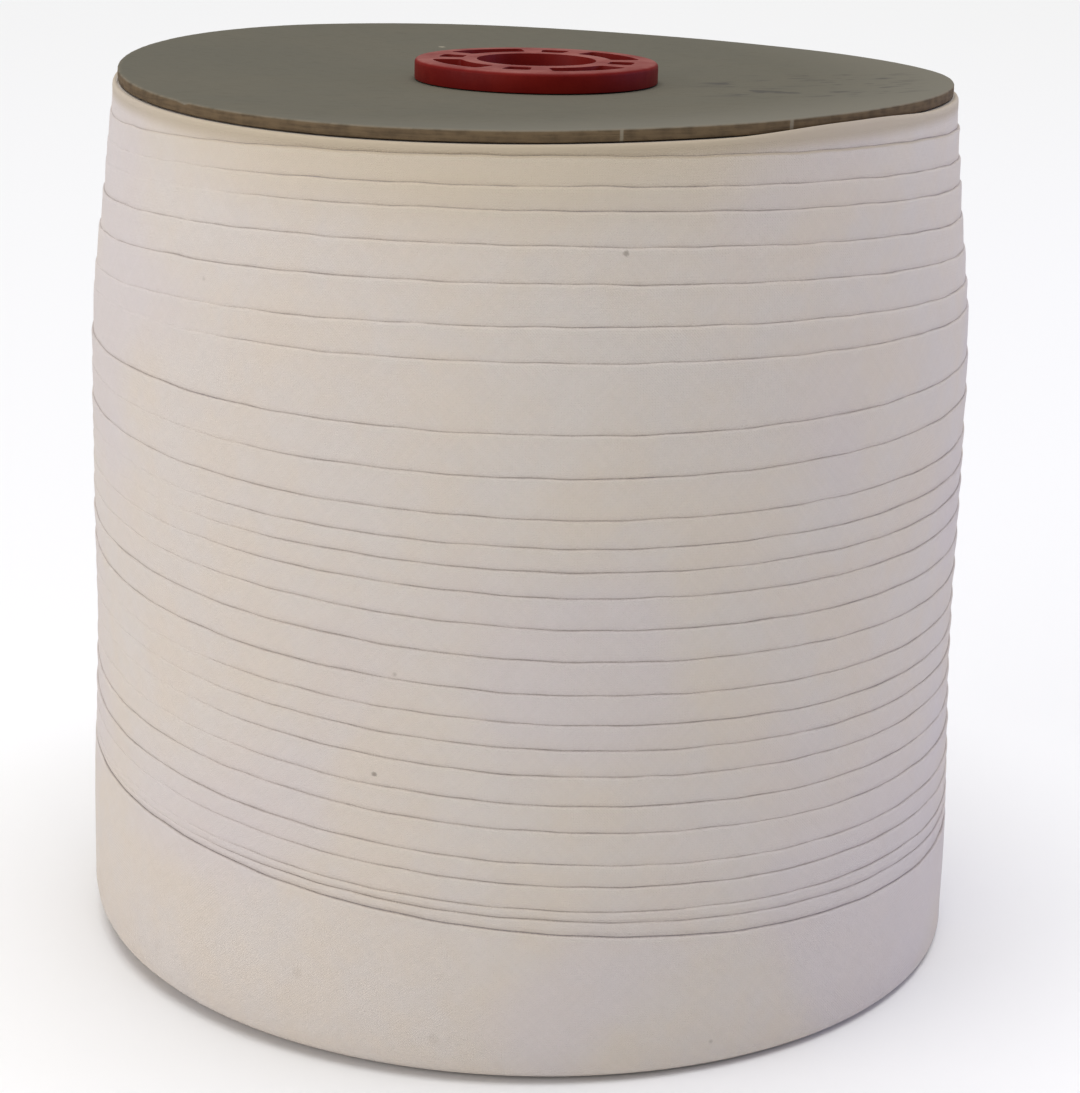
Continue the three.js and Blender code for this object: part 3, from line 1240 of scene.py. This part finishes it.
    def _lay(
        self, name: str, turn: np.ndarray, top: np.ndarray, rows: Sequence[tuple[np.ndarray, ...]]
    ) -> bpy.types.Object:
        """Wind a flat grid onto the roll, with its UV map and the attribute that masks painted crease shade.

        Args:
            name: Name of the grid.
            turn: Turns along the tape of each column.
            top: Height of the tape's edge at each column.
            rows: Height, distance off the barrel and painted crease shade at each column, row by row.

        Returns:
            The wound grid.
        """
        heights, outs, crease_shades = (np.array(part) for part in zip(*rows))
        across, columns = heights.shape
        grid = bpy.ops.mesh.primitive_grid_add
        piece = added(name, grid, x_subdivisions=columns - 1, y_subdivisions=across - 1, size=2)
        angle = FULL_TURN * turn
        swell = np.array([[self.unevenness(a, h) for a, h in zip(angle, row)] for row in heights])
        radius = self.barrel_radius(heights) + outs + swell * self.settled(heights)
        points = np.stack((radius * np.sin(angle), -radius * np.cos(angle), heights), axis=2) * MM
        run = np.broadcast_to(turn * FULL_TURN * self.tape_radius, heights.shape)
        flat = np.stack((run, top - heights), axis=2).reshape(-1, 2) * MM
        mesh = piece.data
        mesh.vertices.foreach_set("co", points.astype(np.float32).ravel())
        # This attribute is the mask of painted shade in the creases.
        crease_shade = mesh.attributes.new("crease_shade", "FLOAT", "POINT")
        crease_shade.data.foreach_set("value", crease_shades.astype(np.float32).ravel())
        corners = np.empty(len(mesh.loops), np.int32)
        mesh.loops.foreach_get("vertex_index", corners)
        chart = mesh.uv_layers[0]
        chart.name = "UVMap"
        chart.uv.foreach_set("vector", flat[corners].astype(np.float32).ravel())
        mesh.materials.append(self.cloth_material())
        mesh.update()
        return piece

    def cloth_material(self) -> bpy.types.Material:
        """The cloth's material, made once."""
        return bpy.data.materials.get("bias_cloth") or self.finish.material()

    def _lap(self, angle: float) -> float:
        """How far the cloth laps up over the board's edge at an angle."""
        off = math.remainder(angle - math.radians(self.lap_angle), FULL_TURN)
        return self.lap_rise * float(ease(1 - abs(off) / math.radians(self.lap_half) + 0.15))

    def _brim(self, angle: float, bend: float) -> tuple[float, float]:
        """Radius and height on the rounding of the upper rim.

        Args:
            angle: Angle from the front.
            bend: How far round it: 0 at its top, a right angle at its foot.

        Returns:
            The radius and the height.
        """
        start = float(self.rim_height(angle))
        wide = float(self.barrel_radius(start))
        radius = self.rim_radius + (wide - self.rim_radius) * math.sin(bend)
        return radius, start + (self.top_round + self._lap(angle)) * math.cos(bend)

    def _tuck(self, angle: float) -> tuple[float, float]:
        """Radius and height of the cloth's turn inwards at the board's edge."""
        return self.tuck_radius, self._brim(angle, 0)[1] - 0.5 * self._lap(angle)

    def _flat(self, angle: float, radius: float) -> tuple[float, float]:
        """Radius and height on the flat end beneath the board."""
        return radius, self.cloth_height + float(self.spring.lift(radius, angle))

    def _bore(self, angle: float, height: float) -> tuple[float, float]:
        """Radius and height in the bore, which is a little uneven."""
        return self.bore_radius + 0.18 * noise.noise(spot(60, angle, height) * 40), height

    def _underside(self, angle: float, radius: float) -> tuple[float, float]:
        """Radius and height on the lower end, where bundles of wraps stand back from the floor.

        Args:
            angle: Angle from the front.
            radius: Distance from the axis.

        Returns:
            The radius and the height.
        """
        swell = noise.noise(Vector((radius * 0.11, math.cos(angle) * 0.5, math.sin(angle) * 0.5)))
        inside = ease((radius - 28) / 6) * ease((97 - radius) / 4)
        return radius, float(max(0.0, swell) * 0.9 * inside)

    def _end_rings(self) -> list[Place]:
        """Rings from the upper rim over the top, down the bore and out over the underside.

        Returns:
            Radius and height by angle, for each ring in order.
        """
        rings: list[Place] = [partial(self._brim, bend=math.radians(x)) for x in (60, 30, 0)]
        rings.append(self._tuck)
        rings += [partial(self._flat, radius=x) for x in self.end_flats]
        rings += [partial(self._bore, height=x) for x in self.bore_heights]
        rings += [partial(self._underside, radius=x) for x in self.foot_radii]
        return rings

    def _ends(self) -> bpy.types.Object:
        """The upper rim, flat top, bore and underside, extruded ring by ring from the rim.

        Returns:
            The ends as one piece, open at the rim and the heel.
        """
        ring = bpy.ops.mesh.primitive_circle_add
        piece = added("tape_ends", ring, vertices=self.steps, radius=1, fill_type="NOTHING")
        mesh = piece.data
        for number, vertex in enumerate(mesh.vertices):
            angle = math.pi + FULL_TURN * number / self.steps
            height = float(self.rim_height(angle))
            swell = self.unevenness(angle, height) * float(self.settled(height))
            vertex.co = spot(float(self.barrel_radius(height)) + swell, angle, height)
        with editing(piece):
            bpy.ops.mesh.select_all(action="SELECT")
            for place in self._end_rings():
                self._extrude_ring(piece, place)
        mesh.attributes.new("crease_shade", "FLOAT", "POINT")
        mesh.materials.append(self.cloth_material())
        mesh.materials.append(self.end_finish.material())
        self._chart_ends(mesh)
        return piece

    def _chart_ends(self, mesh: bpy.types.Mesh) -> None:
        """Give the ends their UV map, and cloth on the rim alone.

        Args:
            mesh: The mesh of the ends.
        """
        chart = mesh.uv_layers.new(name="UVMap")
        for face in mesh.polygons:
            centre = angle_of(face.center)
            level = abs(face.normal.z) > 0.7
            outside = face.center.xy.length > (self.tuck_radius - 0.15) * MM
            face.material_index = 0 if outside and face.center.z > 0.1 else 1
            for corner in face.loop_indices:
                at = mesh.vertices[mesh.loops[corner].vertex_index].co
                turn = centre + math.remainder(angle_of(at) - centre, FULL_TURN)
                chart.uv[corner].vector = (turn * 0.1, at.xy.length if level else at.z)

    def _extrude_ring(self, piece: bpy.types.Object, place: Place) -> None:
        """Extrude the selected loop and put its new points in place by their angle.

        Args:
            piece: The piece in edit mode.
            place: Gives radius and height at an angle.
        """
        bpy.ops.mesh.extrude_edges_move()
        shape = bmesh.from_edit_mesh(piece.data)
        for vertex in shape.verts:
            if vertex.select:
                angle = angle_of(vertex.co)
                radius, height = place(angle)
                vertex.co = spot(radius, angle, height)
        bmesh.update_edit_mesh(piece.data)

    def _close_cut_end(self, piece: bpy.types.Object) -> None:
        """Close the thin cut end of the tape at the back, from its edge down to the floor.

        Args:
            piece: The joined cloth.
        """
        end_height = self.end_of(self.edge_height) * MM
        with editing(piece):
            shape = bmesh.from_edit_mesh(piece.data)
            feet = []
            for edge in shape.edges:
                ends = edge.verts
                behind = all(abs(v.co.x) < HAIR and v.co.y > 0.05 for v in ends)
                low = all(v.co.z < end_height + 10 * HAIR for v in ends)
                if edge.is_boundary and behind and low:
                    edge.select = True
                    feet += [v for v in ends if v.co.z < HAIR]
            shape.edges.new(set(feet)).select = True
            bmesh.update_edit_mesh(piece.data)
            bpy.ops.mesh.edge_face_add()

    def _close_heel(self, piece: bpy.types.Object) -> None:
        """Draw the lower rim in to the underside's outer ring.

        Args:
            piece: The joined cloth.
        """
        outer = (self.heel_radius + 1) * MM
        with editing(piece):
            shape = bmesh.from_edit_mesh(piece.data)
            for edge in shape.edges:
                if edge.is_boundary and all(v.co.z < HAIR and v.co.xy.length > outer for v in edge.verts):
                    edge.select = True
            bmesh.update_edit_mesh(piece.data)
            self._extrude_ring(piece, partial(self._underside, radius=self.heel_radius))


@dataclass
class BoardDisc:
    """The board disc on the roll's upper end."""

    finish: GreyBoard
    spring: Spring
    radius: float = 98.5
    base: float = 205.3
    thickness: float = 2.6
    hole_radius: float = 26.8
    top_corner: float = 0.4
    base_corner: float = 0.25
    steps: int = 360
    rings: tuple[float, ...] = (97.4, 94, 88, 80, 72, 64, 56, 48, 40, 33)
    ragged: float = 0.10
    warp: float = 0.09
    nick_angle: float = -50.3
    nick_half: float = 1.1
    nick_depth: float = 0.55

    def _section(self) -> list[tuple[float, float]]:
        """Radius and height of each point round the disc's section.

        Returns:
            The points in order.
        """
        top = self.base + self.thickness
        middle = self.base + self.thickness / 2
        return [
            (self.hole_radius, self.base),
            (self.hole_radius, top),
            *((radius, top) for radius in reversed(self.rings)),
            *rounded(self.radius, top, self.top_corner, 3),
            (self.radius, middle + 0.5),
            (self.radius, middle - 0.4),
            *reversed(rounded(self.radius, self.base, self.base_corner, 2, way=1)),
            *((radius, self.base) for radius in self.rings),
        ]

    def _shape(self, piece: bpy.types.Object) -> None:
        """Give the disc its dish and spring, its uneven die-cut edge and one nick.

        Args:
            piece: The turned disc.
        """
        top = self.base + self.thickness
        cut = piece.data.attributes.new("cut", "FLOAT", "POINT")
        # This attribute marks the upper outer corner, where the board's painted highlight lies.
        highlight_corner = piece.data.attributes.new("highlight_corner", "FLOAT", "POINT")
        for vertex in piece.data.vertices:
            at = vertex.co / MM
            radius = at.xy.length
            angle = angle_of(at)
            outer = float(ease(radius - self.radius + 1.2))
            drop = (top - at.z) / self.thickness
            corner = 1 - min(1, abs(top - at.z - 0.12) / 0.3)
            cut.data[vertex.index].value = outer * float(ease((drop - 0.03) / 0.1))
            highlight_corner.data[vertex.index].value = max(0.0, corner) * float(ease((radius - self.radius + 0.6) / 0.4))
            rough = self.ragged * noise.noise(Vector((at.x * 0.5, at.y * 0.5, at.z * 1.3)))
            lift = float(self.spring.lift(radius + rough * outer, angle))
            lift += self.warp * noise.noise(Vector((at.x * 0.035, at.y * 0.035, 2)))
            away = abs(math.degrees(angle) - self.nick_angle)
            lift -= self.nick_depth * outer * max(0.0, 1 - away / self.nick_half) * (drop < 0.3)
            vertex.co = spot(radius + rough * outer, angle, at.z + lift)

    def build(self) -> bpy.types.Object:
        """Turn the disc, shape it and finish it.

        Returns:
            The finished piece.
        """
        piece = turned("board_face", self._section(), self.steps)
        self._shape(piece)
        piece.data.materials.append(self.finish.material())
        smooth(piece, 40)
        return piece


class Slot(NamedTuple):
    """An arc-shaped opening between the plug's two walls."""

    inner: float
    outer: float
    middle: float
    half: float
    steps: int


@dataclass
class CorePlug:
    """The plastic plug: a slotted flange on the board and a sleeve down into the roll."""

    finish: RedPlastic
    flange_radius: float = 29
    sleeve_radius: float = 26.5
    spindle_radius: float = 14.2
    seat: float = 208.2
    top: float = 212.9
    foot: float = 183.3
    foot_taper: float = 0.9
    foot_slope: float = 1.6
    corner: float = 1.0
    slot_phase: float = -12
    slots: tuple[Slot, ...] = (Slot(18, 25, 45, 24, 14), Slot(17.6, 23.4, 0, 8.5, 6))
    slot_corner: float = 1.1
    overcut: float = 2
    quarters: int = 4
    edge_round: float = 0.28
    steps: int = 160

    def _section(self) -> list[tuple[float, float]]:
        """Radius and height of each point round the plug's section.

        Returns:
            The points in order.
        """
        return [
            (self.spindle_radius, self.foot),
            (self.spindle_radius, self.top),
            *rounded(self.flange_radius, self.top, self.corner, 4),
            (self.flange_radius, self.seat),
            (self.sleeve_radius, self.seat),
            (self.sleeve_radius, self.foot + self.foot_slope),
            (self.sleeve_radius - self.foot_taper, self.foot),
        ]

    def _cutter(self, slot: Slot, quarter: int) -> bpy.types.Object:
        """A curved block in the shape of one opening, with its upright corners eased.

        Args:
            slot: The opening.
            quarter: Which of the four quarters it is in.

        Returns:
            The block.
        """
        centre = math.radians(self.slot_phase + slot.middle + 90 * quarter)
        half = math.radians(slot.half)
        low, high = self.foot - self.overcut, self.top + self.overcut
        piece = added(f"slot_{quarter}", bpy.ops.mesh.primitive_plane_add, size=2)
        corners = ((slot.inner, low), (slot.outer, low), (slot.inner, high), (slot.outer, high))
        for vertex, (radius, height) in zip(piece.data.vertices, corners):
            vertex.co = spot(radius, centre + half, height)
        with editing(piece, "FACE"):
            bpy.ops.mesh.select_all(action="SELECT")
            bpy.ops.mesh.spin(steps=slot.steps, angle=2 * half, center=(0, 0, 0), axis=(0, 0, 1))
        weld(piece)
        with editing(piece):
            shape = bmesh.from_edit_mesh(piece.data)
            for edge in shape.edges:
                a, b = (v.co / MM for v in edge.verts)
                off = abs(math.remainder(angle_of(a) - centre, FULL_TURN))
                if abs(a.z - b.z) > 1 and off > half * 0.99:
                    edge.select = True
            bmesh.update_edit_mesh(piece.data)
            bpy.ops.mesh.bevel(offset=self.slot_corner * MM, segments=4, affect="EDGES")
        return piece

    def build(self) -> bpy.types.Object:
        """Turn the plug, cut its openings, ease its edges and finish it.

        Returns:
            The finished piece.
        """
        piece = turned("plug_body", self._section(), self.steps)
        for quarter in range(self.quarters):
            for slot in self.slots:
                cutter = self._cutter(slot, quarter)
                apply(piece, "BOOLEAN", operation="DIFFERENCE", solver="MANIFOLD", object=cutter)
                bpy.data.objects.remove(cutter)
        eased = {"width": self.edge_round * MM, "segments": 2}
        apply(piece, "BEVEL", limit_method="ANGLE", angle_limit=math.radians(50), **eased)
        piece.data.materials.clear()
        piece.data.materials.append(self.finish.material())
        for face in piece.data.polygons:
            face.material_index = 0
        smooth(piece, 35)
        return piece


class Lamp(NamedTuple):
    """A soft square lamp that looks at the roll."""

    name: str
    place: Spot
    size: float
    watts: float
    colour: Spot


@dataclass
class Studio:
    """The pale floor, the soft lamps and the camera, in metres."""

    floor_width: float = 16.0
    floor_drop: float = 0.0003
    floor_grey: float = 0.9
    world_strength: float = 0.28
    overhead: float = 2.3
    overhead_spread: float = 50.0
    aim: Spot = (0.0, 0.0, 0.10)
    lamps: tuple[Lamp, ...] = (
        Lamp("window", (-1.8, -1.0, 0.55), 1.4, 16.0, (1.0, 0.95, 0.98)),
        Lamp("side", (1.9, 0.3, 0.5), 1.0, 7.2, (0.5, 0.48, 1.0)),
    )
    lens: float = 84.75
    sensor: float = 36
    far_clip: float = 60
    camera_place: Spot = (0.0, -0.620, 0.2766)
    pitch: float = 16.58
    yaw: float = 0.33
    roll: float = 1.36

    def set_floor(self) -> bpy.types.Object:
        """Lay the plain floor just under the roll.

        Returns:
            The floor.
        """
        plane = bpy.ops.mesh.primitive_plane_add
        floor = added("floor", plane, size=self.floor_width, location=(0, 0, -self.floor_drop))
        material = bpy.data.materials.new("floor")
        material.use_nodes = True
        shader = material.node_tree.nodes["Principled BSDF"]
        shader.inputs["Base Color"].default_value = (*[self.floor_grey] * 3, 1)
        shader.inputs["Roughness"].default_value = 0.9
        shader.inputs["Specular IOR Level"].default_value = 0.1
        floor.data.materials.append(material)
        return floor

    def set_lamps(self) -> None:
        """Hang the lamps and set the even light from all round."""
        for lamp in self.lamps:
            made = added(lamp.name, bpy.ops.object.light_add, type="AREA", location=lamp.place)
            made.data.size = lamp.size
            made.data.energy = lamp.watts
            made.data.color = lamp.colour
            look = Vector(self.aim) - Vector(lamp.place)
            made.rotation_euler = look.to_track_quat("-Z", "Y").to_euler()
        overhead = added("overhead", bpy.ops.object.light_add, type="SUN", location=(0, 0, 3))
        overhead.data.energy = self.overhead
        overhead.data.angle = math.radians(self.overhead_spread)
        world = bpy.context.scene.world or bpy.data.worlds.new("studio")
        bpy.context.scene.world = world
        world.use_nodes = True
        sky = world.node_tree.nodes["Background"]
        sky.inputs["Color"].default_value = (1, 1, 1, 1)
        sky.inputs["Strength"].default_value = self.world_strength
        bpy.context.scene.view_settings.view_transform = "Standard"

    def set_camera(self) -> None:
        """Place the camera at the height, tilt and roll from which the roll is seen."""
        pitch, yaw, roll = (math.radians(x) for x in (self.pitch, self.yaw, self.roll))
        ahead = Vector((math.sin(yaw) * math.cos(pitch), math.cos(yaw) * math.cos(pitch), -math.sin(pitch)))
        level = Vector((math.cos(yaw), -math.sin(yaw), 0))
        down = ahead.cross(level)
        right = level * math.cos(roll) - down * math.sin(roll)
        lower = level * math.sin(roll) + down * math.cos(roll)
        camera = added("Camera", bpy.ops.object.camera_add, location=self.camera_place)
        camera.rotation_euler = Matrix((right, -lower, -ahead)).transposed().to_euler()
        camera.data.lens = self.lens
        camera.data.sensor_width = self.sensor
        camera.data.clip_end = self.far_clip
        bpy.context.scene.camera = camera


def report(piece: bpy.types.Object) -> None:
    """Log a piece's name and number of triangles."""
    triangles = sum(len(face.vertices) - 2 for face in piece.data.polygons)
    LOG.info("%s: %d triangles", piece.name, triangles)


def main() -> None:
    """Build the roll piece by piece, then the studio round it."""
    logging.basicConfig(level=logging.INFO, format="%(name)s: %(message)s")
    effects = SharedEffects()
    spring = Spring()
    tape = WoundTape(BiasCloth(effects), CutLayers(effects), spring).build()
    board = BoardDisc(GreyBoard(effects), spring).build()
    plug = CorePlug(RedPlastic(effects)).build()
    for piece, node, slot in (
        (tape, "tape_roll", "tape_cloth"),
        (board, "board_disc", "grey_board"),
        (plug, "core_plug", "red_plastic"),
    ):
        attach(piece, "root")
        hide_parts(node)
        report(piece)
    studio = Studio()
    studio.set_floor()
    studio.set_lamps()
    studio.set_camera()


if __name__ == "__main__":
    main()
